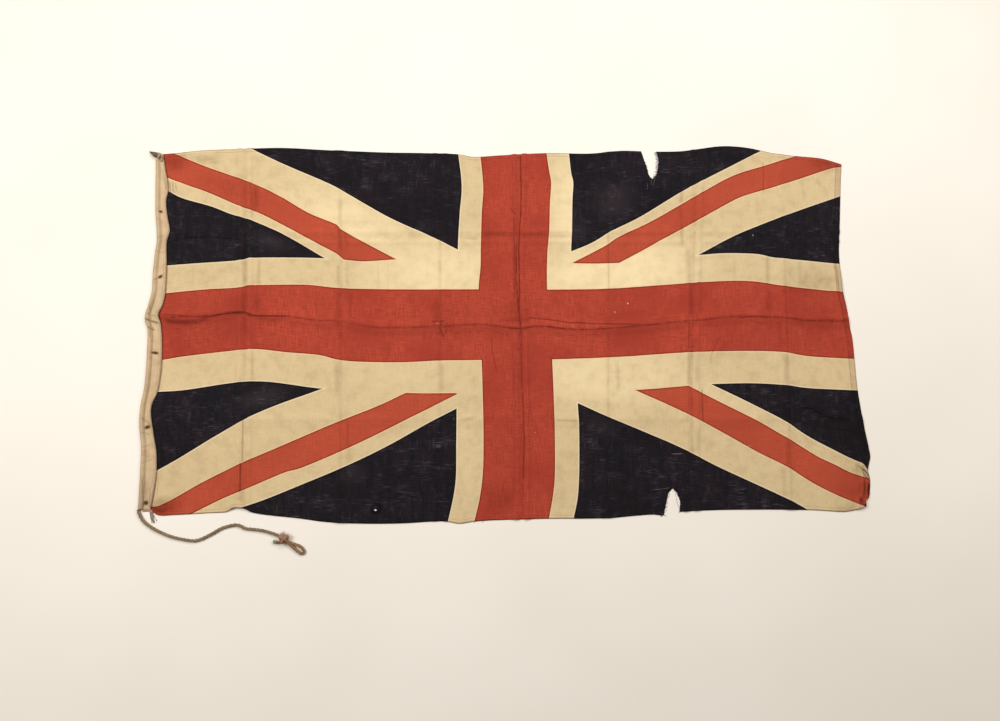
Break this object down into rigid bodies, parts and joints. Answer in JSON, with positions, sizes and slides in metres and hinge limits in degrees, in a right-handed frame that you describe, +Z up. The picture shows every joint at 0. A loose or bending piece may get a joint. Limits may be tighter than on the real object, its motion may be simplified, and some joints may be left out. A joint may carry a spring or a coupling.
{
  "type": "old bunting flag laid open",
  "caption": "Old printed bunting flag laid open flat, with fold creases, two edge tears, a canvas heading, a wooden toggle and a short knotted rope tail.",
  "frame": {"origin": "middle of the flag's box, without its free rope, on the surface that it lies on", "axes": "+X from the hoist to the fly, +Y to the flag's top hem, +Z up, out of the surface that it lies on"},
  "size_m": [1.8595, 1.0576, 0.0211],
  "materials": {
    "bunting": "matte loosely woven bunting, printed red, cream and near-black navy, soiled and creased",
    "canvas": "matte undyed canvas with rust spots",
    "rope": "matte three-strand natural fibre rope, weathered",
    "toggle_wood": "dull weathered wood"
  },
  "bodies": {
    "root": {"flag_cloth": "bunting", "heading": "canvas", "cord": "rope", "cord_knot": "rope", "rope_eye": "rope", "toggle": "toggle_wood"}
  },
  "joints": []
}
